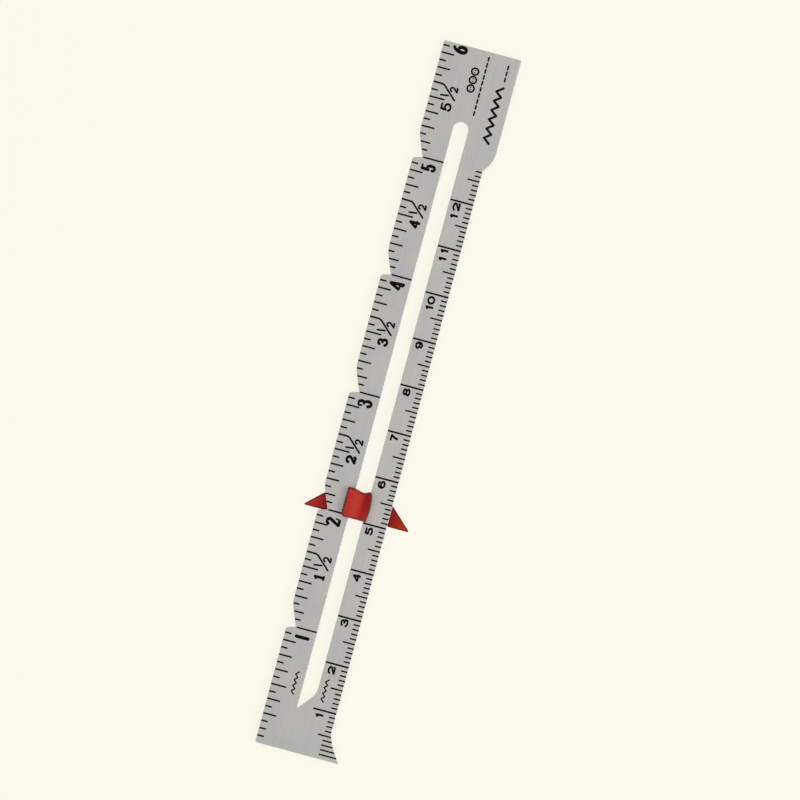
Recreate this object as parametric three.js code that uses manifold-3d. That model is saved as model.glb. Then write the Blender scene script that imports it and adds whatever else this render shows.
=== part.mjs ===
// Sewing gauge: a flat aluminium rule with a closed slot, and a red marker that slides in the slot.
// Millimetres, +Z up. The gauge lies on its back with its scales facing up. +Y runs from the zero
// end to the head, and the origin is on the table under the middle of the bounding box.
// Places on the blade are given as (across, along): across from the inch edge, along from the zero end.

import * as THREE from "three";
import { mergeGeometries, mergeVertices } from "three/addons/utils/BufferGeometryUtils.js";
import Module from "manifold-3d";

const wasm = await Module();
wasm.setup();

// Blade
const BLADE_LENGTH = 151.8;
const BLADE_THICKNESS = 0.8;
const FOOT_WIDTH = 18.0;
const FOOT_FLARE_LENGTH = 6.4;
const FOOT_FLARE_BEND = 4.2;
const WAIST_WIDTH = 14.9;
const HEAD_WIDTH = 16.7;
const HEAD_LENGTH = 24.5;
const HEAD_SHOULDER_LENGTH = 4.6;
const HEAD_SHOULDER_BEND = 2.7;
const HEAD_SHOULDER_STRAIGHT = 1.75;
const CORNER_RADIUS = 0.4;

// Notches, one at each whole inch: a ledge at the inch line and a slant back out to the edge
const INCH = 25.4;
const NOTCH_DEPTH = 1.95;
const NOTCH_RISE = 4.8;
const NOTCH_BLEND = 1.2;
const LEDGE_DROP = 0.4;
const LEDGE_CORNER = 0.5;

// Slot, with a round top end and a pointed, slanting bottom end
const SLOT_WIDTH = 3.2;
const SLOT_FROM_INCH_EDGE = 6.6;
const SLOT_POINT = 9.0;
const SLOT_SLANT_RISE = 4.0;
const SLOT_CORNER_BLEND = 1.6;
const SLOT_TO_HEAD_END = 15.6;

// Etched graduation lines, sixteen to the inch on one edge and one to the millimetre on the other
const MARKS_PER_INCH = 16;
const MARK_WIDTH = 0.36;
const MARK_DEPTH = 0.08;
const SIXTEENTH_LENGTH = 1.5;
const EIGHTH_LENGTH = 2.85;
const HALF_INCH_LENGTH = 3.35;
const SHORTEST_IN_NOTCH = 1.3;
const MILLIMETRE_LENGTH = 1.45;
const FIVE_MILLIMETRE_LENGTH = 2.7;

// Marker: at rest its reading edge stands just short of the two-inch line
const TWO_INCH_LINE = 2 * INCH;
const READING_GAP = 0.3;
const READING = TWO_INCH_LINE - READING_GAP;
const POINTER_SPAN = 22.5;
const POINTER_HEIGHT = 4.9;
const POINTER_SLOPE = THREE.MathUtils.degToRad(43);
const POINTER_THICKNESS = 1.0;
const POINTER_EDGE_BEVEL = 0.12;
const TIP_BEND = 0.25;
const FACE_CLEARANCE = 0.1;
const SIDE_CLEARANCE = 0.15;
const NECK_SETBACK = 0.6;
const TENON_STEP = 0.65;
const TENON_HEIGHT = 1.0;
const TENON_CLEARANCE = 0.05;

// Thumb block: how far it laps past the neck and the slot on each side, and its dished top
const GRIP_HEIGHT = 2.4;
const GRIP_LAP_ZERO_END = 0.8;
const GRIP_LAP_HEAD_END = 1.78;
const GRIP_LAP_INCH_SIDE = 1.65;
const GRIP_LAP_METRIC_SIDE = 0.74;
const GRIP_BULGE = 0.2;
const GRIP_CORNER = 0.45;
const GRIP_HEAD_CORNER = 0.75;
const GRIP_SHOULDER = 0.5;
const GRIP_SHOULDER_SHARE = 0.6;
const DISH_DEPTH = 0.55;
const DISH_WAVE = 0.42;
const DISH_ACROSS = 0.25;
const DISH_REACH_INCH_SIDE = 2.4;
const DISH_REACH_METRIC_SIDE = 1.2;

// Curves are drawn with this many steps
const CURVE_STEPS = 8;
const GRIP_OUTLINE_STEPS = 56;
const SHOULDER_STEPS = 6;
const TOP_STEPS = 5;

const SLOT_CENTRE = SLOT_FROM_INCH_EDGE + SLOT_WIDTH / 2;
const SLOT_FAR_SIDE = SLOT_FROM_INCH_EDGE + SLOT_WIDTH;
const BLADE_BACK = POINTER_THICKNESS + FACE_CLEARANCE;
const BLADE_FRONT = BLADE_BACK + BLADE_THICKNESS;
const GRIP_BASE = BLADE_FRONT + FACE_CLEARANCE;
const NECK_WIDTH = SLOT_WIDTH - 2 * SIDE_CLEARANCE;
const NECK_LENGTH = POINTER_HEIGHT - 2 * NECK_SETBACK;
const GRIP_INCH_SIDE = -SLOT_WIDTH / 2 - GRIP_LAP_INCH_SIDE;
const GRIP_METRIC_SIDE = SLOT_WIDTH / 2 + GRIP_LAP_METRIC_SIDE;
const GRIP_ZERO_END = NECK_SETBACK - GRIP_LAP_ZERO_END;
const GRIP_HEAD_END = NECK_SETBACK + NECK_LENGTH + GRIP_LAP_HEAD_END;

const aluminium = new THREE.MeshStandardMaterial({ color: 0xb5b6b5, roughness: 0.45, metalness: 0.9 });
const redPlastic = new THREE.MeshStandardMaterial({ color: 0xb8322c, roughness: 0.35, metalness: 0.0 });

/** Turns a closed three.js geometry into a solid that can be cut and joined. */
function toSolid(geometry) {
  const bare = geometry.clone();
  bare.deleteAttribute("normal");
  bare.deleteAttribute("uv");
  const merged = mergeVertices(bare, 1e-5);
  return new wasm.Manifold(new wasm.Mesh({
    numProp: 3,
    vertProperties: new Float32Array(merged.attributes.position.array),
    triVerts: new Uint32Array(merged.index.array),
  }));
}

/** Turns a solid back into a three.js geometry with flat normals. */
function toGeometry(solid) {
  const mesh = solid.getMesh();
  const geometry = new THREE.BufferGeometry();
  geometry.setAttribute("position", new THREE.BufferAttribute(mesh.vertProperties, 3));
  geometry.setIndex(new THREE.BufferAttribute(mesh.triVerts, 1));
  const flat = geometry.toNonIndexed();
  flat.computeVertexNormals();
  return flat;
}

/** Extrudes a flat shape upwards from a height. */
function plate(shape, bottom, height) {
  const options = { depth: height, bevelEnabled: false, curveSegments: CURVE_STEPS };
  return new THREE.ExtrudeGeometry(shape, options).translate(0, 0, bottom);
}

/** How far the inch edge lies in from the edge line at a place along the blade. */
function inchEdgeAt(along) {
  const aboveLine = along % INCH;
  const inNotch = along > INCH && aboveLine < NOTCH_RISE;
  return inNotch ? NOTCH_DEPTH * (1 - aboveLine / NOTCH_RISE) : 0;
}

/** The number of whole inches whose notch fits on the blade. */
function notchCount() {
  return Math.floor((BLADE_LENGTH - NOTCH_RISE - NOTCH_BLEND - CORNER_RADIUS) / INCH);
}

/** Draws one notch on the way down the inch edge: slant, inner corner, ledge and its outer corner. */
function drawNotch(shape, line) {
  const blendDepth = NOTCH_DEPTH * NOTCH_BLEND / NOTCH_RISE;
  shape.lineTo(0, line + NOTCH_RISE + NOTCH_BLEND);
  shape.quadraticCurveTo(0, line + NOTCH_RISE, blendDepth, line + NOTCH_RISE - NOTCH_BLEND);
  shape.lineTo(NOTCH_DEPTH, line);
  const ledgeSlope = LEDGE_DROP / (NOTCH_DEPTH - LEDGE_CORNER);
  const outerCorner = line - LEDGE_DROP - ledgeSlope * LEDGE_CORNER;
  shape.lineTo(LEDGE_CORNER, line - LEDGE_DROP);
  shape.quadraticCurveTo(0, outerCorner, 0, outerCorner - LEDGE_CORNER);
}

/** The blade's outer outline, counter-clockwise from the zero end's inch corner. */
function bladeOutline() {
  const shape = new THREE.Shape();
  const headStart = BLADE_LENGTH - HEAD_LENGTH;
  const waistEnd = new THREE.Vector2(WAIST_WIDTH, headStart);
  const bend = new THREE.Vector2(HEAD_WIDTH, headStart + HEAD_SHOULDER_BEND);
  const slope = bend.clone().sub(waistEnd).setLength(HEAD_SHOULDER_STRAIGHT);
  shape.moveTo(CORNER_RADIUS, 0);
  shape.lineTo(FOOT_WIDTH, 0);
  shape.quadraticCurveTo(WAIST_WIDTH, FOOT_FLARE_BEND, WAIST_WIDTH, FOOT_FLARE_LENGTH);
  shape.lineTo(WAIST_WIDTH, headStart);
  shape.lineTo(WAIST_WIDTH + slope.x, headStart + slope.y);
  shape.quadraticCurveTo(bend.x, bend.y, HEAD_WIDTH, headStart + HEAD_SHOULDER_LENGTH);
  shape.lineTo(HEAD_WIDTH, BLADE_LENGTH - CORNER_RADIUS);
  shape.quadraticCurveTo(HEAD_WIDTH, BLADE_LENGTH, HEAD_WIDTH - CORNER_RADIUS, BLADE_LENGTH);
  shape.lineTo(CORNER_RADIUS, BLADE_LENGTH);
  shape.quadraticCurveTo(0, BLADE_LENGTH, 0, BLADE_LENGTH - CORNER_RADIUS);
  for (let inch = notchCount(); inch >= 1; inch -= 1) drawNotch(shape, inch * INCH);
  shape.lineTo(0, CORNER_RADIUS);
  shape.quadraticCurveTo(0, 0, CORNER_RADIUS, 0);
  return shape;
}

/** The slot: straight sides, a half-round top end and a slanting bottom end with a sharp point. */
function slotOutline() {
  const path = new THREE.Path();
  const corner = SLOT_POINT + SLOT_SLANT_RISE;
  const slantLength = Math.hypot(SLOT_WIDTH, SLOT_SLANT_RISE);
  const blend = SLOT_CORNER_BLEND / slantLength;
  const radius = SLOT_WIDTH / 2;
  const topCentre = BLADE_LENGTH - SLOT_TO_HEAD_END - radius;
  path.moveTo(SLOT_FROM_INCH_EDGE, SLOT_POINT);
  path.lineTo(SLOT_FAR_SIDE - SLOT_WIDTH * blend, corner - SLOT_SLANT_RISE * blend);
  path.quadraticCurveTo(SLOT_FAR_SIDE, corner, SLOT_FAR_SIDE, corner + SLOT_CORNER_BLEND);
  path.lineTo(SLOT_FAR_SIDE, topCentre);
  path.absarc(SLOT_CENTRE, topCentre, radius, 0, Math.PI, false);
  path.lineTo(SLOT_FROM_INCH_EDGE, SLOT_POINT);
  return path;
}

/** One graduation groove as a box that runs from one place across the blade to another. */
function groove(from, to, along) {
  const overshoot = MARK_DEPTH;
  const box = new THREE.BoxGeometry(to - from, MARK_WIDTH, MARK_DEPTH + overshoot);
  return box.translate((from + to) / 2, along, BLADE_FRONT - MARK_DEPTH / 2 + overshoot / 2);
}

/** How far in a sixteenth of an inch reaches, by its place in the inch. */
function inchMarkEnd(sixteenth) {
  const alongInch = sixteenth % MARKS_PER_INCH;
  const firstEighth = sixteenth === 2;
  let length = EIGHTH_LENGTH;
  if (alongInch % 2 === 1 || firstEighth) length = SIXTEENTH_LENGTH;
  if (alongInch === MARKS_PER_INCH / 2) length = HALF_INCH_LENGTH;
  const edge = inchEdgeAt(sixteenth * INCH / MARKS_PER_INCH);
  return Math.max(length, edge + SHORTEST_IN_NOTCH);
}

/** The inch scale: a line at each sixteenth, and a long line from each notch to the slot. */
function inchGrooves() {
  const grooves = [];
  const beyondEdge = -NOTCH_DEPTH;
  const count = Math.floor((BLADE_LENGTH - CORNER_RADIUS - MARK_WIDTH) * MARKS_PER_INCH / INCH);
  for (let sixteenth = 1; sixteenth <= count; sixteenth += 1) {
    const along = sixteenth * INCH / MARKS_PER_INCH;
    const wholeInch = sixteenth % MARKS_PER_INCH === 0;
    const from = wholeInch ? NOTCH_DEPTH + MARK_WIDTH / 2 : beyondEdge;
    const to = wholeInch ? SLOT_CENTRE : inchMarkEnd(sixteenth);
    grooves.push(groove(from, to, along));
  }
  return grooves;
}

/** The metric scale: a line at each millimetre up to the head, longer at five and ten. */
function metricGrooves() {
  const grooves = [];
  const beyondEdge = FOOT_WIDTH + MARK_WIDTH;
  const count = Math.floor(BLADE_LENGTH - HEAD_LENGTH - MARK_WIDTH / 2);
  for (let millimetre = 1; millimetre <= count; millimetre += 1) {
    let from = WAIST_WIDTH - MILLIMETRE_LENGTH;
    if (millimetre % 5 === 0) from = WAIST_WIDTH - FIVE_MILLIMETRE_LENGTH;
    if (millimetre % 10 === 0) from = SLOT_FAR_SIDE - MARK_WIDTH / 2;
    grooves.push(groove(from, beyondEdge, millimetre));
  }
  return grooves;
}

/** The blade: outline and slot extruded, with both scales etched into its front face. */
function buildBlade() {
  const shape = bladeOutline();
  shape.holes.push(slotOutline());
  const body = toSolid(plate(shape, BLADE_BACK, BLADE_THICKNESS));
  const grooves = toSolid(mergeGeometries([...inchGrooves(), ...metricGrooves()]));
  return toGeometry(body.subtract(grooves));
}

/** The neck's section, with round ends, drawn larger or smaller all round by an offset. */
function neckSection(offset) {
  const shape = new THREE.Shape();
  const round = NECK_WIDTH / 2;
  const radius = round + offset;
  shape.absarc(0, NECK_SETBACK + round, radius, Math.PI, 2 * Math.PI, false);
  shape.absarc(0, NECK_SETBACK + NECK_LENGTH - round, radius, 0, Math.PI, false);
  shape.closePath();
  return shape;
}

/** The arrow outline: a straight reading edge, a rounded tip on each side and slopes up to a flat top. */
function pointerOutline() {
  const shape = new THREE.Shape();
  // The sides would meet this far beyond the rounded tip
  const cutOff = TIP_BEND / (1 + 1 / Math.cos(POINTER_SLOPE));
  const tip = POINTER_SPAN / 2 - POINTER_EDGE_BEVEL + cutOff;
  const bottom = POINTER_EDGE_BEVEL;
  const top = POINTER_HEIGHT - POINTER_EDGE_BEVEL;
  const topHalf = tip - (top - bottom) / Math.tan(POINTER_SLOPE);
  const upX = TIP_BEND * Math.cos(POINTER_SLOPE);
  const upY = TIP_BEND * Math.sin(POINTER_SLOPE);
  shape.moveTo(-tip + TIP_BEND, bottom);
  shape.lineTo(tip - TIP_BEND, bottom);
  shape.quadraticCurveTo(tip, bottom, tip - upX, bottom + upY);
  shape.lineTo(topHalf, top);
  shape.lineTo(-topHalf, top);
  shape.lineTo(-tip + upX, bottom + upY);
  shape.quadraticCurveTo(-tip, bottom, -tip + TIP_BEND, bottom);
  return shape;
}

/** The back half of the marker: arrow plate, the neck that runs in the slot, and the tenon on it. */
function buildPointerPlate() {
  const arrow = new THREE.ExtrudeGeometry(pointerOutline(), {
    depth: POINTER_THICKNESS - 2 * POINTER_EDGE_BEVEL,
    bevelThickness: POINTER_EDGE_BEVEL,
    bevelSize: POINTER_EDGE_BEVEL,
    bevelSegments: 2,
    curveSegments: CURVE_STEPS,
  }).translate(0, 0, POINTER_EDGE_BEVEL);
  const rooted = POINTER_THICKNESS / 2;
  const neck = plate(neckSection(0), rooted, GRIP_BASE - rooted);
  const tenon = plate(neckSection(-TENON_STEP), rooted, GRIP_BASE + TENON_HEIGHT - rooted);
  return toGeometry(toSolid(arrow).add(toSolid(neck)).add(toSolid(tenon)));
}

/** The dish across the thumb block as a share of its depth: one at the lowest line, nought outside. */
function dishAt(across) {
  const away = across - DISH_ACROSS;
  const reach = away < 0 ? DISH_REACH_INCH_SIDE : DISH_REACH_METRIC_SIDE;
  return (1 + Math.cos(Math.PI * Math.min(1, Math.abs(away) / reach))) / 2;
}

/** The thumb block's outline: plain sides and lower edge, and an upper edge that dips with the dish. */
function gripOutline() {
  const shape = new THREE.Shape();
  const low = GRIP_ZERO_END;
  const high = GRIP_HEAD_END;
  const side = GRIP_METRIC_SIDE - GRIP_BULGE;
  const middle = (low + high) / 2;
  shape.moveTo(GRIP_INCH_SIDE + GRIP_CORNER, low);
  shape.lineTo(side - GRIP_CORNER / 2, low);
  shape.quadraticCurveTo(side, low, side, low + GRIP_CORNER / 2);
  shape.quadraticCurveTo(GRIP_METRIC_SIDE + GRIP_BULGE, middle, side, high - 1.6 * GRIP_HEAD_CORNER);
  const firstAcross = side - GRIP_HEAD_CORNER;
  const lastAcross = GRIP_INCH_SIDE + GRIP_CORNER;
  const crown = high - DISH_WAVE * dishAt(firstAcross);
  shape.quadraticCurveTo(side - GRIP_HEAD_CORNER / 6, high, firstAcross, crown);
  for (let step = 1; step <= 2 * CURVE_STEPS; step += 1) {
    const across = THREE.MathUtils.lerp(firstAcross, lastAcross, step / (2 * CURVE_STEPS));
    shape.lineTo(across, high - DISH_WAVE * dishAt(across));
  }
  shape.quadraticCurveTo(GRIP_INCH_SIDE, high, GRIP_INCH_SIDE, high - GRIP_CORNER);
  shape.lineTo(GRIP_INCH_SIDE, low + GRIP_CORNER);
  shape.lineTo(GRIP_INCH_SIDE + GRIP_CORNER, low);
  return shape;
}

/** Joins rings of equal length into a closed skin, with a fan over the first and the last ring. */
function loft(rings) {
  const size = rings[0].length;
  const points = rings.flat();
  const faces = [];
  for (let ring = 0; ring + 1 < rings.length; ring += 1) {
    for (let step = 0; step < size; step += 1) {
      const next = (step + 1) % size;
      const a = ring * size + step;
      const b = ring * size + next;
      faces.push(a, b, b + size, a, b + size, a + size);
    }
  }
  const middle = (ring) => ring.reduce((sum, p) => sum.add(p), new THREE.Vector3()).divideScalar(size);
  const low = points.push(middle(rings[0])) - 1;
  const high = points.push(middle(rings[rings.length - 1])) - 1;
  const last = (rings.length - 1) * size;
  for (let step = 0; step < size; step += 1) {
    const next = (step + 1) % size;
    faces.push(low, next, step, high, last + step, last + next);
  }
  const geometry = new THREE.BufferGeometry().setFromPoints(points);
  geometry.setIndex(faces);
  return geometry;
}

/** The thumb block: sides that round over into a dished top, over a pocket for the tenon. */
function buildGrip() {
  const outline = gripOutline().getSpacedPoints(GRIP_OUTLINE_STEPS).slice(0, GRIP_OUTLINE_STEPS);
  const middle = (GRIP_ZERO_END + GRIP_HEAD_END) / 2;
  const centre = new THREE.Vector2((GRIP_INCH_SIDE + GRIP_METRIC_SIDE) / 2, middle);
  const ringAt = (inset, shrink, heightShare) => outline.map((point) => {
    const inner = (1 - inset / point.distanceTo(centre)) * (1 - shrink);
    const moved = centre.clone().lerp(point, inner);
    const height = GRIP_HEIGHT - DISH_DEPTH * dishAt(moved.x);
    return new THREE.Vector3(moved.x, moved.y, GRIP_BASE + height * heightShare);
  });
  const rings = [outline.map((point) => new THREE.Vector3(point.x, point.y, GRIP_BASE))];
  for (let step = 0; step <= SHOULDER_STEPS; step += 1) {
    const turn = Math.PI / 2 * step / SHOULDER_STEPS;
    const heightShare = 1 - GRIP_SHOULDER_SHARE * (1 - Math.sin(turn));
    rings.push(ringAt(GRIP_SHOULDER * (1 - Math.cos(turn)), 0, heightShare));
  }
  for (let step = 1; step < TOP_STEPS; step += 1) rings.push(ringAt(GRIP_SHOULDER, step / TOP_STEPS, 1));
  const below = TENON_HEIGHT;
  const depth = below + TENON_HEIGHT + TENON_CLEARANCE;
  const pocket = plate(neckSection(TENON_CLEARANCE - TENON_STEP), GRIP_BASE - below, depth);
  return toGeometry(toSolid(loft(rings)).subtract(toSolid(pocket)));
}

/** Makes a named mesh. */
function piece(name, geometry, material) {
  const mesh = new THREE.Mesh(geometry, material);
  mesh.name = name;
  return mesh;
}

const blade = new THREE.Group();
blade.position.set(-SLOT_CENTRE, -BLADE_LENGTH / 2, 0);
blade.add(piece("rule_blade", buildBlade(), aluminium));

const marker = new THREE.Group();
marker.position.set(0, READING - BLADE_LENGTH / 2, 0);
marker.add(piece("pointer_plate", buildPointerPlate(), redPlastic));
marker.add(piece("slider_grip", buildGrip(), redPlastic.clone()));

const gauge = new THREE.Group();
gauge.add(blade, marker);

export default gauge;
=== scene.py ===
"""Looks of a sewing gauge: a satin aluminium rule with enamelled scales, and a red moulded marker.

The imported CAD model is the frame, and each piece made here stands for one of its nodes or lies on one.
Lengths are millimetres, and they turn to metres where a mesh is made. Places on the blade are
(across, along): across from the inch edge and along from the zero end, the row frame's +X and +Y.
"""

import logging
import math
from collections.abc import Sequence
from dataclasses import dataclass, field, replace
from enum import Enum

import bpy
import numpy as np
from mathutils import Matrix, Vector


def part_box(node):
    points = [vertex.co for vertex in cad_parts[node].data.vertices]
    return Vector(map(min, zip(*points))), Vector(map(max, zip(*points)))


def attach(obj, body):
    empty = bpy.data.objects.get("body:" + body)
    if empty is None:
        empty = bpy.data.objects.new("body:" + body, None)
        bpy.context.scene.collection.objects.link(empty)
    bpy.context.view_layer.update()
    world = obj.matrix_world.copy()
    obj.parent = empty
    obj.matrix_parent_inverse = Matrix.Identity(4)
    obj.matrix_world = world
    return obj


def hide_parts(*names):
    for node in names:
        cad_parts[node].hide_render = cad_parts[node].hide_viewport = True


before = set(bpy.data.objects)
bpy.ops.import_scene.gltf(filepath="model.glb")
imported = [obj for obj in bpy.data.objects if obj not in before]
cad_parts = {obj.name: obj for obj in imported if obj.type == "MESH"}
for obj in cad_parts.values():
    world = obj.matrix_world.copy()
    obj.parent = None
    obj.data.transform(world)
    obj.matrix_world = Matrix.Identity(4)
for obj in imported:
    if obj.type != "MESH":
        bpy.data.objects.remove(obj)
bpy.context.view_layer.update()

Array = np.ndarray

LOG = logging.getLogger("sewing_gauge")
MM = 0.001
INCH = 25.4
# A bend has at least this many points, so that the tightest ones still look round.
FEWEST_BEND_POINTS = 10
# Points closer than this share of an outline's spacing are one point.
SAME_POINT_SHARE = 0.001
# Where the points of a pen stroke's round end lie, in degrees from straight ahead.
ROUND_END_DEGREES = (70.0, 45.0, 20.0)


class Body(Enum):
    """The CAD bodies that pieces ride on."""

    RULE = "rule"
    MARKER = "marker"


class Slot(Enum):
    """The record's material slots."""

    BLADE = "blade_aluminium"
    POINTER = "pointer_red"
    GRIP = "grip_red"


class End(Enum):
    """How a pen stroke ends."""

    ROUND = "round"
    SQUARE = "square"


class Edge(Enum):
    """The two long edges of the blade."""

    INCH_SIDE = "inch"
    METRIC_SIDE = "metric"


# Numbers, colours and nodes


def linear(hex_colour: str) -> tuple[float, float, float, float]:
    """Turns an sRGB colour into linear light.

    Args:
        hex_colour: A hash and six hex digits.

    Returns:
        Red, green and blue in linear light, and an alpha of 1.
    """
    shares = np.array([int(hex_colour[at:at + 2], 16) for at in (1, 3, 5)]) / 255
    light = np.where(shares <= 0.04045, shares / 12.92, ((shares + 0.055) / 1.055) ** 2.4)
    return (*light.tolist(), 1.0)


def add_node(
    tree: bpy.types.NodeTree, kind: str, inputs: dict | None = None, **settings: object
) -> bpy.types.Node:
    """Adds one shader node with its settings and its inputs.

    Args:
        tree: The node tree that gets the node.
        kind: The node's type, without the leading ShaderNode.
        inputs: For each input's name or number, a value or the output that is linked to it.
        settings: Properties of the node by name.

    Returns:
        The new node.
    """
    node = tree.nodes.new("ShaderNode" + kind)
    for name, value in settings.items():
        setattr(node, name, value)
    for name, value in (inputs or {}).items():
        if isinstance(value, bpy.types.NodeSocket):
            tree.links.new(value, node.inputs[name])
        else:
            node.inputs[name].default_value = value
    return node


def empty_material(name: str) -> tuple[bpy.types.Material, bpy.types.NodeTree]:
    """Makes a material whose node tree is empty.

    Args:
        name: The material's name.

    Returns:
        The material and its node tree.
    """
    material = bpy.data.materials.new(name)
    material.use_nodes = True
    material.node_tree.nodes.clear()
    return material, material.node_tree


def node_box(node: str) -> tuple[Array, Array]:
    """Gives a CAD node's lowest and highest corner in millimetres.

    Args:
        node: The CAD node's name.

    Returns:
        The two corners, as x, y, z.
    """
    low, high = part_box(node)
    return np.array(low) / MM, np.array(high) / MM


# Curves and outlines


def straight(start: Sequence[float], end: Sequence[float], spacing: float) -> Array:
    """Gives points from start towards end, at most a spacing apart and without the end itself.

    Args:
        start: The first point.
        end: The point that the line runs to.
        spacing: The widest step.

    Returns:
        An array of points.
    """
    start, end = np.array(start, float), np.array(end, float)
    steps = max(1, math.ceil(np.linalg.norm(end - start) / spacing))
    share = np.arange(steps)[:, None] / steps
    return start + share * (end - start)


def bend(start: Sequence[float], corner: Sequence[float], end: Sequence[float], steps: int) -> Array:
    """Gives points on a quadratic curve, without its end.

    The curve is (1 - t)^2 start + 2 t (1 - t) corner + t^2 end, for t from nought to one.

    Args:
        start: Where the curve leaves the first side.
        corner: Where the two sides would meet.
        end: Where the curve joins the second side.
        steps: The number of points.

    Returns:
        An array of points.
    """
    t = np.arange(steps)[:, None] / steps
    start, corner, end = (np.array(point, float) for point in (start, corner, end))
    return (1 - t) ** 2 * start + 2 * t * (1 - t) * corner + t ** 2 * end


def on_circle(angle: Array) -> Array:
    """Gives the points of a circle of radius one at some angles: the cosine and sine of each."""
    return np.stack([np.cos(angle), np.sin(angle)], -1)


@dataclass(frozen=True)
class Corner:
    """A corner of an outline, and how much of the side before and after it the bend takes."""

    across: float
    along: float
    before: float = 0.0
    after: float = 0.0


def bent_outline(corners: Sequence[Corner], spacing: float) -> Array:
    """Draws a closed outline of straight sides that bend at each corner.

    Args:
        corners: The corners, counter-clockwise.
        spacing: The widest step between points.

    Returns:
        The outline's points, counter-clockwise.
    """
    places = np.array([(corner.across, corner.along) for corner in corners])
    runs = []
    ends = []
    for number, corner in enumerate(corners):
        place = places[number]
        back = places[number - 1] - place
        onward = places[(number + 1) % len(corners)] - place
        start = place + back / np.linalg.norm(back) * corner.before
        end = place + onward / np.linalg.norm(onward) * corner.after
        steps = max(FEWEST_BEND_POINTS, math.ceil((corner.before + corner.after) / spacing))
        runs.append(bend(start, place, end, steps))
        ends.append(end)
    sides = [straight(end, run[0], spacing) for end, run in zip(ends, runs[1:] + runs[:1])]
    outline = np.concatenate([part for pair in zip(runs, sides) for part in pair])
    onward = np.linalg.norm(np.roll(outline, -1, 0) - outline, axis=1)
    return outline[onward > spacing * SAME_POINT_SHARE]


def inward_steps(outline: Array) -> Array:
    """Gives the step from each point of an outline that moves both of its sides in by one.

    With a and b the inward normals of the two sides, the step is 2 (a + b) / |a + b|^2.

    Args:
        outline: A closed outline, counter-clockwise.

    Returns:
        One step for each point.
    """
    side = np.roll(outline, -1, 0) - outline
    normal = np.stack([-side[:, 1], side[:, 0]], -1) / np.linalg.norm(side, axis=1, keepdims=True)
    both = normal + np.roll(normal, 1, 0)
    return 2 * both / (both ** 2).sum(1, keepdims=True)


def nearest_on_loop(loop: Array, points: Array) -> Array:
    """Gives the place on a closed loop that lies nearest to each point.

    Args:
        loop: The loop's corners.
        points: The points to start from.

    Returns:
        One place on the loop for each point.
    """
    side = np.roll(loop, -1, 0) - loop
    away = points[:, None] - loop[None]
    share = np.clip((away * side).sum(-1) / (side ** 2).sum(-1), 0, 1)
    feet = loop + share[..., None] * side
    best = ((points[:, None] - feet) ** 2).sum(-1).argmin(1)
    return feet[np.arange(len(points)), best]


def steps_to_core(outline: Array, corners: Array, reach: float) -> Array:
    """Gives steps like those of inward_steps that never cross, even at a corner tighter than the edge.

    Each step leads to the nearest place on the core: the straight-sided outline, moved in by the reach.

    Args:
        outline: A closed outline, counter-clockwise.
        corners: The corners of the same outline before they were bent.
        reach: How far in the core lies.

    Returns:
        One step for each point.
    """
    core = corners + inward_steps(corners) * reach
    return (nearest_on_loop(core, outline) - outline) / reach


def edge_profile(
    bottom: float, top: float, lower_round: float, upper_round: float, steps: int
) -> Array:
    """Gives inset and height up the edge of a plate, from its lower face to its upper face.

    Each rounded edge is a quarter circle: inset r (1 - cos a), height r (1 - sin a) from the face. One
    more point past each round keeps the flat faces shading flat.

    Args:
        bottom: Height of the lower face.
        top: Height of the upper face.
        lower_round: Radius of the lower edge.
        upper_round: Radius of the upper edge.
        steps: Steps in each quarter circle.

    Returns:
        Rows of inset and height.
    """
    past_round = 1.3
    turn = np.linspace(0, math.pi / 2, steps + 1)
    lower = np.stack([lower_round * (1 - np.sin(turn)), bottom + lower_round * (1 - np.cos(turn))], -1)
    upper = np.stack([upper_round * (1 - np.cos(turn)), top - upper_round * (1 - np.sin(turn))], -1)
    first = [[lower_round * past_round, bottom]]
    last = [[upper_round * past_round, top]]
    return np.concatenate([first, lower, upper, last])


# Skins and meshes


@dataclass
class Skin:
    """A closed skin, as points in millimetres and faces that point outwards."""

    points: Array
    quads: Array
    triangles: Array = field(default_factory=lambda: np.zeros((0, 3), int))


def join_skins(skins: Sequence[Skin]) -> Skin:
    """Puts several skins into one, each with its own points.

    Args:
        skins: The skins.

    Returns:
        One skin that holds them all.
    """
    firsts = np.cumsum([0] + [len(skin.points) for skin in skins[:-1]])
    return Skin(
        np.concatenate([skin.points for skin in skins]),
        np.concatenate([skin.quads + first for skin, first in zip(skins, firsts)]),
        np.concatenate([skin.triangles + first for skin, first in zip(skins, firsts)]),
    )


def grid_quads(rows: int, columns: int, wrap_rows: bool, wrap_columns: bool) -> Array:
    """Numbers the faces of a grid whose points are counted row by row.

    A face's outward side is that of the step to the next row crossed with the step to the next column.

    Args:
        rows: Rows of points.
        columns: Columns of points.
        wrap_rows: Whether the last row joins the first.
        wrap_columns: Whether the last column joins the first.

    Returns:
        Four point numbers for each face.
    """
    row, column = np.meshgrid(
        np.arange(rows if wrap_rows else rows - 1),
        np.arange(columns if wrap_columns else columns - 1),
        indexing="ij",
    )
    next_row, next_column = (row + 1) % rows, (column + 1) % columns
    corners = ((row, column), (next_row, column), (next_row, next_column), (row, next_column))
    return np.stack([r * columns + c for r, c in corners], -1).reshape(-1, 4)


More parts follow.
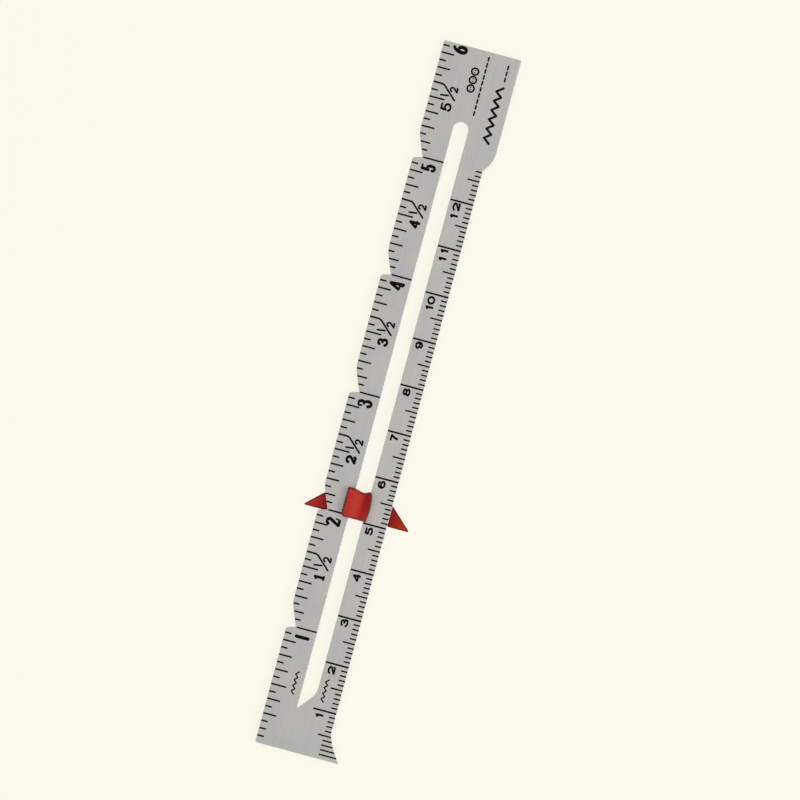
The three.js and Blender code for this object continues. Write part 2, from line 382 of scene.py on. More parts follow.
def domed_skin(grid: Array, low_pole: Sequence[float], high_pole: Sequence[float]) -> Skin:
    """Closes a grid of rings with a fan at each end.

    Args:
        grid: Points by place round the ring, counter-clockwise, and by ring from low to high.
        low_pole: The middle of the lowest face.
        high_pole: The middle of the highest face.

    Returns:
        The closed skin.
    """
    places, rings = grid.shape[:2]
    points = np.concatenate([grid.reshape(-1, 3), [low_pole, high_pole]])
    first = np.arange(places) * rings
    after = np.roll(first, -1)
    low, high = np.full(places, places * rings), np.full(places, places * rings + 1)
    fans = np.concatenate([
        np.stack([after, first, low], -1),
        np.stack([first + rings - 1, after + rings - 1, high], -1),
    ])
    return Skin(points, grid_quads(places, rings, True, False), fans)


def plate_skin(outline: Array, steps: Array, profile: Array) -> Skin:
    """Makes a plate: an outline whose edge follows a profile, with flat faces above and below.

    Args:
        outline: A closed outline, counter-clockwise.
        steps: The step from each of its points for an inset of one.
        profile: Inset and height up the edge.

    Returns:
        The closed skin.
    """
    rings = outline[:, None] + steps[:, None] * profile[None, :, :1]
    heights = np.broadcast_to(profile[None, :, 1:], (*rings.shape[:2], 1))
    middle = (outline.min(0) + outline.max(0)) / 2
    low, high = (*middle, profile[0, 1]), (*middle, profile[-1, 1])
    return domed_skin(np.concatenate([rings, heights], -1), low, high)


def make_piece(
    name: str, skin: Skin, material: bpy.types.Material, body: Body, smooth: bool
) -> bpy.types.Object:
    """Puts a skin into a Blender mesh object that rides on a CAD body.

    Args:
        name: The piece's name.
        skin: Its points in the row frame, in millimetres, and its faces.
        material: Its finish.
        body: The body that carries it.
        smooth: Whether its faces shade as one curved surface.

    Returns:
        The new object, at the origin.
    """
    mesh = bpy.data.meshes.new(name)
    mesh.from_pydata((skin.points * MM).tolist(), [], [*skin.quads.tolist(), *skin.triangles.tolist()])
    mesh.polygons.foreach_set("use_smooth", np.full(len(mesh.polygons), smooth))
    mesh.materials.append(material)
    mesh.update()
    piece = bpy.data.objects.new(name, mesh)
    bpy.context.scene.collection.objects.link(piece)
    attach(piece, body.value)
    triangles = 2 * len(skin.quads) + len(skin.triangles)
    LOG.info("%s: %d triangles, on %s", name, triangles, body.value)
    return piece


def set_point_values(piece: bpy.types.Object, name: str, values: Array) -> None:
    """Stores one number for each point of a piece, for its material to read.

    Args:
        piece: The piece.
        name: The attribute's name.
        values: The numbers, in the order of the points.
    """
    attribute = piece.data.attributes.new(name, "FLOAT", "POINT")
    attribute.data.foreach_set("value", values.astype(np.float32))


# Finishes


@dataclass(frozen=True)
class SatinAluminium:
    """Rolled aluminium sheet, etched matt and clear anodised.

    To the eye it is an even mid grey with soft, wide reflections, a faint grain along the rolling
    direction, and patches that lean a little to warm or to cool. Handled edges are brighter.
    """

    name: str = "rolled_anodised_aluminium"
    cool: str = "#aeb0b6"
    warm: str = "#b5b2b4"
    edge: str = "#bdbec1"
    roughness: float = 0.44
    edge_roughness: float = 0.3
    # Rolling lines are 0.02 to 0.05 mm apart, too fine to show, so they are drawn 0.3 mm apart.
    grain_width: float = 0.3
    grain_length: float = 14.0
    grain_detail: float = 3.0
    grain_mix: float = 0.6
    grain_depth: float = 0.004
    grain_strength: float = 0.6
    # The noise between the first two numbers darkens or lightens the metal by the last two.
    streaks: tuple[float, float, float, float] = (0.3, 0.7, 0.96, 1.04)
    patch_width: float = 6.0
    patch_detail: float = 1.5
    # The noise goes from the cool colour to the warm one between these two.
    patch_span: tuple[float, float] = (0.35, 0.65)

    def material(self, worn: str) -> bpy.types.Material:
        """Builds the material.

        Args:
            worn: The point attribute that is one on worn edges and nought on flat faces.

        Returns:
            The material.
        """
        material, tree = empty_material(self.name)
        place = add_node(tree, "TexCoord").outputs["Object"]
        widths = (self.grain_width, self.grain_length, self.grain_width)
        along_grain = add_node(
            tree, "Mapping", {"Vector": place, "Scale": tuple(1 / (width * MM) for width in widths)}
        )
        grain = add_node(
            tree, "TexNoise",
            {
                "Vector": along_grain.outputs[0],
                "Scale": 1.0,
                "Detail": self.grain_detail,
                "Roughness": self.grain_mix,
            },
        )
        patches = add_node(
            tree, "TexNoise",
            {"Vector": place, "Scale": 1 / (self.patch_width * MM), "Detail": self.patch_detail},
        )
        cool_end, warm_end = self.patch_span
        contrast = add_node(
            tree, "MapRange",
            {"Value": patches.outputs["Fac"], "From Min": cool_end, "From Max": warm_end},
        )
        face = add_node(
            tree, "Mix",
            {"Factor": contrast.outputs[0], "A": linear(self.cool), "B": linear(self.warm)},
            data_type="RGBA",
        )
        noise_low, noise_high, dark, light = self.streaks
        streak = add_node(
            tree, "MapRange",
            {
                "Value": grain.outputs["Fac"],
                "From Min": noise_low,
                "From Max": noise_high,
                "To Min": dark,
                "To Max": light,
            },
        )
        grained = add_node(
            tree, "VectorMath",
            {0: face.outputs["Result"], "Scale": streak.outputs[0]}, operation="SCALE",
        )
        wear = add_node(tree, "Attribute", attribute_name=worn)
        colour = add_node(
            tree, "Mix",
            {"Factor": wear.outputs["Fac"], "A": grained.outputs[0], "B": linear(self.edge)},
            data_type="RGBA",
        )
        roughness = add_node(
            tree, "MapRange",
            {"Value": wear.outputs["Fac"], "To Min": self.roughness, "To Max": self.edge_roughness},
        )
        bump = add_node(
            tree, "Bump",
            {
                "Height": grain.outputs["Fac"],
                "Distance": self.grain_depth * MM,
                "Strength": self.grain_strength,
            },
        )
        surface = add_node(
            tree, "BsdfPrincipled",
            {
                "Base Color": colour.outputs["Result"],
                "Metallic": 1.0,
                "Roughness": roughness.outputs[0],
                "Normal": bump.outputs[0],
            },
        )
        add_node(tree, "OutputMaterial", {"Surface": surface.outputs[0]})
        return material


@dataclass(frozen=True)
class BakedEnamel:
    """Black enamel, wiped into the etched lines and baked.

    To the eye it is a near black with a dull sheen, and slightly greyer where it is thin.
    """

    name: str = "baked_black_enamel"
    full: str = "#020202"
    thin: str = "#100f0f"
    roughness: float = 0.6
    gloss: float = 0.06
    patch_width: float = 0.8
    patch_detail: float = 2.0
    # The noise goes from the full colour to the thin one between these two.
    patch_span: tuple[float, float] = (0.5, 0.8)

    def material(self) -> bpy.types.Material:
        """Builds the material.

        Returns:
            The material.
        """
        material, tree = empty_material(self.name)
        place = add_node(tree, "TexCoord").outputs["Object"]
        cover = add_node(
            tree, "TexNoise",
            {"Vector": place, "Scale": 1 / (self.patch_width * MM), "Detail": self.patch_detail},
        )
        full_end, thin_end = self.patch_span
        thinness = add_node(
            tree, "MapRange",
            {"Value": cover.outputs["Fac"], "From Min": full_end, "From Max": thin_end},
        )
        colour = add_node(
            tree, "Mix",
            {"Factor": thinness.outputs[0], "A": linear(self.full), "B": linear(self.thin)},
            data_type="RGBA",
        )
        surface = add_node(
            tree, "BsdfPrincipled",
            {
                "Base Color": colour.outputs["Result"],
                "Roughness": self.roughness,
                "Specular IOR Level": self.gloss,
            },
        )
        add_node(tree, "OutputMaterial", {"Surface": surface.outputs[0]})
        return material


@dataclass(frozen=True)
class Stop:
    """A place across the marker, and the colour painted there, painted shade included."""

    across: float
    colour: str


@dataclass(frozen=True)
class MouldedPolystyrene:
    """Red polystyrene, injection moulded in a polished tool and dulled by fingers.

    To the eye it is a deep red with a soft gloss broken by a faint orange peel. A colour ramp across the
    marker paints in shade, darker where the surface turns from the light or passes under the blade's
    edge, and a dark painted shade lies on the walls and edges.
    """

    name: str
    # The colour of the painted shade on walls and edges.
    painted_shade: str
    # A colour ramp across the marker that paints in shade, stop by stop.
    shade_ramp: tuple[Stop, ...]
    # The painted shade ramp grows from the least share to its full strength between these places along
    # the marker.
    growth: tuple[float, float] = (-3.0, 3.0)
    least_shade_ramp: float = 1.0
    roughness: float = 0.45
    gloss: float = 0.2
    peel_width: float = 0.7
    peel_detail: float = 1.0
    peel_depth: float = 0.006
    peel_strength: float = 0.5

    def _shade_ramp_colour(
        self, tree: bpy.types.NodeTree, across: bpy.types.NodeSocket
    ) -> bpy.types.Node:
        """Adds the painted shade ramp, which goes smoothly from each stop's colour to the next.

        Args:
            tree: The node tree that gets it.
            across: The place across the marker.

        Returns:
            The ramp's node.
        """
        first, last = self.shade_ramp[0].across, self.shade_ramp[-1].across
        share = add_node(
            tree, "MapRange", {"Value": across, "From Min": first * MM, "From Max": last * MM}
        )
        node = add_node(tree, "ValToRGB", {"Fac": share.outputs[0]})
        ramp = node.color_ramp
        ramp.interpolation = "EASE"
        while len(ramp.elements) < len(self.shade_ramp):
            ramp.elements.new(1.0)
        for element, stop in zip(ramp.elements, self.shade_ramp):
            element.color = linear(stop.colour)
        for element, stop in zip(ramp.elements, self.shade_ramp):
            element.position = (stop.across - first) / (last - first)
        return node

    def material(self, shade_attribute: str) -> bpy.types.Material:
        """Builds the material.

        Args:
            shade_attribute: The point attribute that is one where the painted shade is darkest and
                nought on faces without it.

        Returns:
            The material.
        """
        material, tree = empty_material(self.name)
        place = add_node(tree, "TexCoord").outputs["Object"]
        axes = add_node(tree, "SeparateXYZ", {"Vector": place})
        # Painted shade: a colour ramp across the marker, grown in along it.
        shade_ramp_node = self._shade_ramp_colour(tree, axes.outputs["X"])
        growth = add_node(
            tree, "MapRange",
            {
                "Value": axes.outputs["Y"],
                "From Min": self.growth[0] * MM,
                "From Max": self.growth[1] * MM,
                "To Min": self.least_shade_ramp,
            },
            interpolation_type="SMOOTHSTEP",
        )
        shaded_base = add_node(
            tree, "Mix",
            {
                "Factor": growth.outputs[0],
                "A": linear(self.shade_ramp[0].colour),
                "B": shade_ramp_node.outputs["Color"],
            },
            data_type="RGBA",
        )
        # Painted shade on walls and edges, read from the point attribute.
        shade_mask = add_node(tree, "Attribute", attribute_name=shade_attribute)
        colour = add_node(
            tree, "Mix",
            {"Factor": shade_mask.outputs["Fac"], "A": shaded_base.outputs["Result"], "B": linear(self.painted_shade)},
            data_type="RGBA",
        )
        peel = add_node(
            tree, "TexNoise",
            {"Vector": place, "Scale": 1 / (self.peel_width * MM), "Detail": self.peel_detail},
        )
        bump = add_node(
            tree, "Bump",
            {
                "Height": peel.outputs["Fac"],
                "Distance": self.peel_depth * MM,
                "Strength": self.peel_strength,
            },
        )
        surface = add_node(
            tree, "BsdfPrincipled",
            {
                "Base Color": colour.outputs["Result"],
                "Roughness": self.roughness,
                "Specular IOR Level": self.gloss,
                "Normal": bump.outputs[0],
            },
        )
        add_node(tree, "OutputMaterial", {"Surface": surface.outputs[0]})
        return material


# Pen strokes and numerals


@dataclass(frozen=True)
class Pen:
    """Widths of a pen's stroke: its stem where it runs across the blade, its hairline along it."""

    stem: float
    hairline: float

    def half_widths(self, heading: Array) -> Array:
        """Gives half the width for each unit heading: hairline plus the rest times its share across."""
        return (self.hairline + (self.stem - self.hairline) * np.abs(heading[:, 0])) / 2

    def scaled(self, share: float) -> "Pen":
        """Gives the same pen with both widths times a share."""
        return Pen(self.stem * share, self.hairline * share)


@dataclass(frozen=True)
class Stroke:
    """A stroke of enamel on the blade: its centre line, across and along, its pen and its two ends."""

    path: Sequence[Sequence[float]]
    pen: Pen
    ends: tuple[End, End] = (End.ROUND, End.ROUND)

    def skin(self, top: float, bottom: float) -> Skin:
        """Sweeps a flat bar along the centre line.

        The bar's half width is w along the path. In a round end it is w times the sine of an angle that
        falls from 90 degrees, while the bar runs on past the end by w times the cosine. A path that
        comes back to its first point makes a ring.

        Args:
            top: Height of the bar's upper face.
            bottom: Height of its lower face.

        Returns:
            The closed skin.
        """
        path = np.array(self.path, float)
        ring = bool(np.allclose(path[0], path[-1]))
        if ring:
            path = path[:-1]
            heading = np.roll(path, -1, 0) - np.roll(path, 1, 0)
        else:
            heading = np.gradient(path, axis=0)
        heading = heading / np.linalg.norm(heading, axis=1, keepdims=True)
        half = self.pen.half_widths(heading)[:, None]
        if not ring:
            angle = np.radians(ROUND_END_DEGREES)[:, None]
            if self.ends[1] is End.ROUND:
                tail = path[-1] + heading[-1] * half[-1] * np.cos(angle)
                path = np.concatenate([path, tail])
                half = np.concatenate([half, half[-1] * np.sin(angle)])
                heading = np.concatenate([heading, np.repeat(heading[-1:], len(angle), 0)])
            if self.ends[0] is End.ROUND:
                angle = angle[::-1]
                nose = path[0] - heading[0] * half[0] * np.cos(angle)
                path = np.concatenate([nose, path])
                half = np.concatenate([half[0] * np.sin(angle), half])
                heading = np.concatenate([np.repeat(heading[:1], len(angle), 0), heading])
        left = np.stack([-heading[:, 1], heading[:, 0]], -1) * half
        sides = np.stack([path - left, path - left, path + left, path + left], 1)
        section = np.array([bottom, top, top, bottom])
        heights = np.broadcast_to(section[None, :, None], (len(path), len(section), 1))
        quads = grid_quads(len(path), len(section), ring, True)
        if not ring:
            first_cap = np.arange(len(section))
            last_cap = len(section) * len(path) - 1 - first_cap
            quads = np.concatenate([quads, [first_cap], [last_cap]])
        return Skin(np.concatenate([sides, heights], -1).reshape(-1, 3), quads)


@dataclass(frozen=True)
class Arc:
    """Part of an ellipse in a numeral's unit cell. Angles are degrees, from the first to the last."""

    centre: tuple[float, float]
    radii: tuple[float, float]
    turn: tuple[float, float]
    step: float = 14.0

    def points(self) -> Array:
        """Gives centre plus radii times the angle's cosine and sine, in even steps.

        Returns:
            The arc's points.
        """
        count = math.ceil(abs(self.turn[1] - self.turn[0]) / self.step) + 1
        angle = np.radians(np.linspace(*self.turn, count))
        return np.array(self.centre) + np.array(self.radii) * on_circle(angle)


Parts = tuple[Arc | tuple[float, float], ...]


@dataclass(frozen=True)
class Light:
    """A stroke that is drawn with only a share of the pen's width."""

    share: float
    parts: Parts


def glyph_points(parts: Parts) -> Array:
    """Gives the points of a stroke that is made of points and arcs in order.

    Args:
        parts: Points and arcs in the unit cell.

    Returns:
        The points of the whole stroke.
    """
    return np.concatenate([part.points() if isinstance(part, Arc) else [part] for part in parts])


class Glyph(Enum):
    """Numerals as strokes in a unit cell, x along the reading direction and y up."""

    BAR = (((0.0, 0.88), (0.0, 0.02)), ((1.0, 0.96), (1.0, 0.02)))
    LEANING_BAR = (((0.0, 1.0), (1.0, 0.0)),)
    ONE = (((1.0, 1.0), (1.0, 0.0)), ((0.95, 1.0), (0.5, 0.97), (0.0, 0.83)))
    FOOTED_ONE = (
        ((0.55, 1.0), (0.55, 0.02)),
        ((0.5, 0.98), (0.05, 0.86)),
        ((0.0, 0.02), (1.0, 0.0)),
        ((0.15, 0.06), (0.85, 0.06)),
    )
    TWO = (
        (Arc((0.48, 0.71), (0.5, 0.29), (165, -40)), (0.06, 0.06)),
        ((0.0, 0.02), (0.95, 0.02), (1.0, 0.12)),
    )
    HEAVY_TWO = (
        (Arc((0.48, 0.78), (0.52, 0.22), (165, -30)), (0.5, 0.4), (0.04, 0.1)),
        (Arc((0.42, 0.77), (0.5, 0.2), (70, -30)), (0.42, 0.38)),
        ((-0.08, 0.0), (1.0, 0.0)),
        ((0.0, 0.07), (0.95, 0.08)),
        Light(0.5, ((1.1, 0.02), (1.2, 0.32))),
    )
    THREE = (
        (Arc((0.45, 0.76), (0.42, 0.24), (165, -90)),),
        (Arc((0.47, 0.26), (0.53, 0.26), (90, -165)),),
    )
    HEAVY_THREE = (
        Light(0.62, ((-0.02, 0.74), (-0.1, 0.97))),
        ((-0.02, 0.98), (0.7, 1.0)),
        (Arc((0.46, 0.78), (0.42, 0.22), (70, -70)), (0.35, 0.58)),
        (Arc((0.48, 0.29), (0.52, 0.29), (75, -90)), (0.22, 0.04), (0.02, 0.17), (0.0, 0.24)),
    )
    FOUR = (((0.78, 1.0), (0.02, 0.3)), ((0.0, 0.27), (1.0, 0.27)), ((0.8, 1.0), (0.8, 0.0)))
    HEAVY_FOUR = (
        ((0.82, 1.0), (0.0, 0.32)),
        ((0.0, 0.28), (0.95, 0.24)),
        ((0.88, 0.94), (1.0, 0.0)),
        ((0.84, 0.3), (0.76, 0.06)),
    )
    FIVE = (
        ((0.12, 1.0), (0.92, 1.0)),
        ((0.12, 0.98), (0.06, 0.5)),
        (Arc((0.46, 0.31), (0.54, 0.31), (138, -155)),),
    )
    OPEN_FIVE = (
        ((0.16, 1.0), (0.94, 1.0)),
        ((0.14, 0.97), (0.08, 0.6)),
        (Arc((0.45, 0.3), (0.55, 0.3), (122, -140)),),
    )
    SIX = ((Arc((0.5, 0.5), (0.5, 0.5), (48, 262)), Arc((0.5, 0.3), (0.5, 0.3), (-90, 172))),)
    HEAVY_SIX = (
        ((0.8, 1.0), (0.52, 0.93), (0.22, 0.75), (0.04, 0.5)),
        (Arc((0.5, 0.33), (0.5, 0.33), (90, 450)),),
        (Arc((0.5, 0.33), (0.46, 0.3), (90, 450)),),
    )
    SEVEN = (((0.02, 1.0), (0.98, 1.0)), ((0.98, 0.98), (0.6, 0.5), (0.42, 0.0)))
    EIGHT = (
        (Arc((0.5, 0.76), (0.43, 0.24), (-90, 270)),),
        (Arc((0.5, 0.26), (0.5, 0.26), (90, 450)),),
    )
    NINE = ((Arc((0.5, 0.5), (0.5, 0.5), (228, 442)), Arc((0.5, 0.7), (0.5, 0.3), (90, 352))),)
    NOUGHT = ((Arc((0.5, 0.5), (0.5, 0.5), (90, 450)),),)


@dataclass(frozen=True)
class Numeral:
    """A numeral, how wide it is drawn, how far before its line it ends, and its pen's weight."""

    glyph: Glyph
    width: float
    gap: float
    weight: float = 1.0


WHOLE_NUMERALS = (
    Numeral(Glyph.BAR, 0.72, 1.45, 0.92),
    Numeral(Glyph.HEAVY_TWO, 1.72, 1.32, 0.92),
    Numeral(Glyph.HEAVY_THREE, 1.72, 1.14, 0.96),
    Numeral(Glyph.HEAVY_FOUR, 1.78, 1.12, 0.92),
    Numeral(Glyph.FIVE, 1.56, 1.08, 0.92),
    Numeral(Glyph.HEAVY_SIX, 1.85, 0.8),
)
HALF_NUMERALS = (
    Numeral(Glyph.FOOTED_ONE, 1.25, 0.82),
    Numeral(Glyph.TWO, 1.83, 0.47, 1.1),
    Numeral(Glyph.THREE, 1.74, 0.5, 1.06),
    Numeral(Glyph.FOUR, 1.8, 0.42),
    Numeral(Glyph.FIVE, 1.8, 0.43, 0.9),
)
METRIC_NUMERALS = (
    (Numeral(Glyph.ONE, 0.78, 0.8),),
    (Numeral(Glyph.TWO, 1.8, 0.48),),
    (Numeral(Glyph.THREE, 1.72, 0.25),),
    (Numeral(Glyph.FOUR, 1.74, 0.53),),
    (Numeral(Glyph.OPEN_FIVE, 1.74, 0.48),),
    (Numeral(Glyph.SIX, 1.76, 0.39),),
    (Numeral(Glyph.SEVEN, 1.52, 0.44),),
    (Numeral(Glyph.EIGHT, 1.66, 0.46),),
    (Numeral(Glyph.NINE, 1.66, 0.32),),
    (Numeral(Glyph.ONE, 0.78, 2.66), Numeral(Glyph.NOUGHT, 1.86, 0.5)),
    (Numeral(Glyph.ONE, 0.8, 2.14), Numeral(Glyph.ONE, 0.8, 0.46)),
    (Numeral(Glyph.ONE, 0.78, 2.9), Numeral(Glyph.TWO, 1.84, 0.3)),
)


@dataclass(frozen=True)
class Cell:
    """The place that a numeral fills on the blade. It reads along it, its top to the inch edge."""

    top: float
    foot: float
    start: float
    width: float

    def moved(self, along: float) -> "Cell":
        """Gives the same cell, moved along the blade."""
        return replace(self, start=self.start + along)

    def strokes(self, glyph: Glyph, pen: Pen) -> list[Stroke]:
        """Draws a glyph so that its strokes' outer sides fill the cell.

        Args:
            glyph: The numeral.
            pen: The pen it is drawn with.

        Returns:
            The strokes.
        """
        low, high = self.foot - pen.hairline / 2, self.top + pen.hairline / 2
        first, last = self.start + pen.stem / 2, self.start + self.width - pen.stem / 2
        drawn = []
        for stroke in glyph.value:
            light = isinstance(stroke, Light)
            points = glyph_points(stroke.parts if light else stroke)
            across = low + (high - low) * points[:, 1]
            along = first + (last - first) * points[:, 0]
            path = np.stack([across, along], -1)
            drawn.append(Stroke(path, pen.scaled(stroke.share) if light else pen))
        return drawn


def label(numeral: Numeral, line: float, pen: Pen, band: tuple[float, float]) -> list[Stroke]:
    """Draws a numeral so that it ends its gap before a line.

    Args:
        numeral: The numeral.
        line: The line's place along the blade.
        pen: The pen of the scale's numerals.
        band: Where across the blade the numerals have their top and their foot.

    Returns:
        The strokes.
    """
    cell = Cell(*band, line - numeral.gap - numeral.width, numeral.width)
    return cell.strokes(numeral.glyph, pen.scaled(numeral.weight))


# The rule


@dataclass
class Blade:
    """The stamped aluminium blade: a stepped inch edge, a waisted metric edge and a closed slot."""

    foot_width: float = 18.0
    foot_flare_length: float = 6.4
    foot_flare_bend: float = 4.2
    waist_width: float = 14.9
    head_width: float = 16.7
    head_length: float = 24.5
    shoulder_length: float = 4.6
    shoulder_bend: float = 2.7
    shoulder_straight: float = 1.75
    corner_radius: float = 0.4
    notches: int = 5
    notch_depth: float = 1.95
    notch_rise: float = 4.8
    notch_blend: float = 1.2
    ledge_drop: float = 0.4
    ledge_corner: float = 0.5
    slot_width: float = 3.2
    slot_from_inch_edge: float = 6.6
    slot_point: float = 9.0
    slot_slant_rise: float = 4.0
    slot_corner_blend: float = 1.6
    slot_to_head_end: float = 15.6
    # Stamping leaves sharp corners a little soft, and tumbling rounds the edges.
    burr_radius: float = 0.12
    front_round: float = 0.07
    back_round: float = 0.05
    slot_tip_radius: float = 0.06
    point_spacing: float = 0.3
    round_steps: int = 4
    crown_points: int = 49
    slot_corner_points: int = 12
    worn_attribute: str = "worn_edge"

    def __post_init__(self) -> None:
        """Takes the blade's place and length from the frame and draws its outline."""
        self.low, self.high = node_box("rule_blade")
        self.length = self.high[1] - self.low[1]
        self.front = self.high[2]
        self.slot_far_side = self.slot_from_inch_edge + self.slot_width
        self.slot_centre = self.slot_from_inch_edge + self.slot_width / 2
        self.outline = bent_outline(self._corners(), self.point_spacing)

    def _notch_corners(self, line: float) -> list[Corner]:
        """Gives the corners of the notch at an inch line.

        Args:
            line: The line's place along the blade.

        Returns:
            The corners, from the head side down.
        """
        ledge_slope = self.ledge_drop / (self.notch_depth - self.ledge_corner)
        fall = ledge_slope * self.ledge_corner
        slant = math.hypot(self.notch_depth, self.notch_rise)
        blended = self.notch_blend * slant / self.notch_rise
        ledge_bend = math.hypot(self.ledge_corner, fall)
        return [
            Corner(0, line + self.notch_rise, self.notch_blend, blended),
            Corner(self.notch_depth, line, self.burr_radius, self.burr_radius),
            Corner(0, line - self.ledge_drop - fall, ledge_bend, self.ledge_corner),
        ]

    def _corners(self) -> list[Corner]:
        """Gives the outline's corners.

        Returns:
            The corners, counter-clockwise from the zero end's inch corner.
        """
        head_start = self.length - self.head_length
        flare = math.hypot(self.foot_width - self.waist_width, self.foot_flare_bend)
        slope = math.hypot(self.head_width - self.waist_width, self.shoulder_bend)
        flare_rest = self.foot_flare_length - self.foot_flare_bend
        slope_rest = self.shoulder_length - self.shoulder_bend
        shoulder = head_start + self.shoulder_bend
        soft, round_corner = self.burr_radius, self.corner_radius
        notches = [self._notch_corners(inch * INCH) for inch in range(self.notches, 0, -1)]
        return [
            Corner(0, 0, round_corner, round_corner),
            Corner(self.foot_width, 0),
            Corner(self.waist_width, self.foot_flare_bend, flare, flare_rest),
            Corner(self.waist_width, head_start, soft, soft),
            Corner(self.head_width, shoulder, slope - self.shoulder_straight, slope_rest),
            Corner(self.head_width, self.length, round_corner, round_corner),
            Corner(0, self.length, round_corner, round_corner),
            *[corner for notch in notches for corner in notch],
        ]

    def _slot_core(self) -> Array:
        """Draws the slot, smaller all round by the radius of its tip.

        Returns:
            The loop's points, counter-clockwise.
        """
        radius = self.slot_width / 2
        crown_centre = (self.slot_centre, self.length - self.slot_to_head_end - radius)
        angle = np.linspace(0, math.pi, self.crown_points)
        crown = on_circle(angle) * radius + crown_centre
        tip = np.array([self.slot_from_inch_edge, self.slot_point])
        corner = np.array([self.slot_far_side, self.slot_point + self.slot_slant_rise])
        back = (tip - corner) / np.linalg.norm(tip - corner)
        bend_start = corner + back * self.slot_corner_blend
        bend_end = corner + (0, self.slot_corner_blend)
        joined = bend(bend_start, corner, bend_end, self.slot_corner_points)
        outline = np.concatenate([[tip], joined, [bend_end], crown])
        return outline + inward_steps(outline) * self.slot_tip_radius

    def edge_at(self, edge: Edge, along: Array) -> Array:
        """Gives how far across a long edge of the blade lies.

        Args:
            edge: Which edge.
            along: Places along the blade.

        Returns:
            The edge's distance from the inch edge line, for each place.
        """
        inch_side = self.outline[:, 0] < self.slot_centre
        side = self.outline[inch_side if edge is Edge.INCH_SIDE else ~inch_side]
        side = side[np.argsort(side[:, 1])]
        return np.interp(along, side[:, 1], side[:, 0])

    def on_blade(self, skin: Skin) -> Skin:
        """Moves a skin from the blade's own places into the row frame."""
        skin.points = skin.points + (self.low[0], self.low[1], 0.0)
        return skin

    def _skin(self) -> tuple[Skin, Array]:
        """Makes the blade as one surface that runs round the outline and from its edge to the slot's.

        One parameter goes round the outline, p. The other goes up the outer edge, over the front to the
        slot, down the slot's wall and along the back. On the outer edge a point is p moved in by the
        profile's inset. On the slot's it is the core's nearest place to p, moved towards p by the tip's
        radius and the inset, so that the lines between them never cross.

        Returns:
            The skin, and for each point whether it lies on an edge or a wall.
        """
        rounds = (self.back_round, self.front_round)
        profile = edge_profile(self.low[2], self.front, *rounds, self.round_steps)
        core = nearest_on_loop(self._slot_core(), self.outline)
        towards = self.outline - core
        towards = towards / np.linalg.norm(towards, axis=1, keepdims=True)
        inset = profile[None, :, :1]
        outer = self.outline[:, None] + inward_steps(self.outline)[:, None] * inset
        inner = core[:, None] + towards[:, None] * (self.slot_tip_radius + inset)
        flat = np.concatenate([outer, inner[:, ::-1]], 1)
        shape = flat.shape[:2]
        height = np.concatenate([profile[:, 1], profile[::-1, 1]])
        heights = np.broadcast_to(height[None, :, None], (*shape, 1))
        points = np.concatenate([flat, heights], -1)
        on_edge = np.ones(len(profile))
        on_edge[[0, 1, -2, -1]] = 0.0
        worn = np.broadcast_to(np.concatenate([on_edge, on_edge[::-1]]), shape)
        return Skin(points.reshape(-1, 3), grid_quads(*shape, True, True)), worn.reshape(-1)

    def build(self, finish: SatinAluminium) -> bpy.types.Object:
        """Builds and dresses the blade.

        Args:
            finish: The blade's finish.

        Returns:
            The piece.
        """
        skin, worn = self._skin()
        material = finish.material(self.worn_attribute)
        piece = make_piece("blade", self.on_blade(skin), material, Body.RULE, smooth=True)
        set_point_values(piece, self.worn_attribute, worn)
        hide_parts("rule_blade")
        return piece


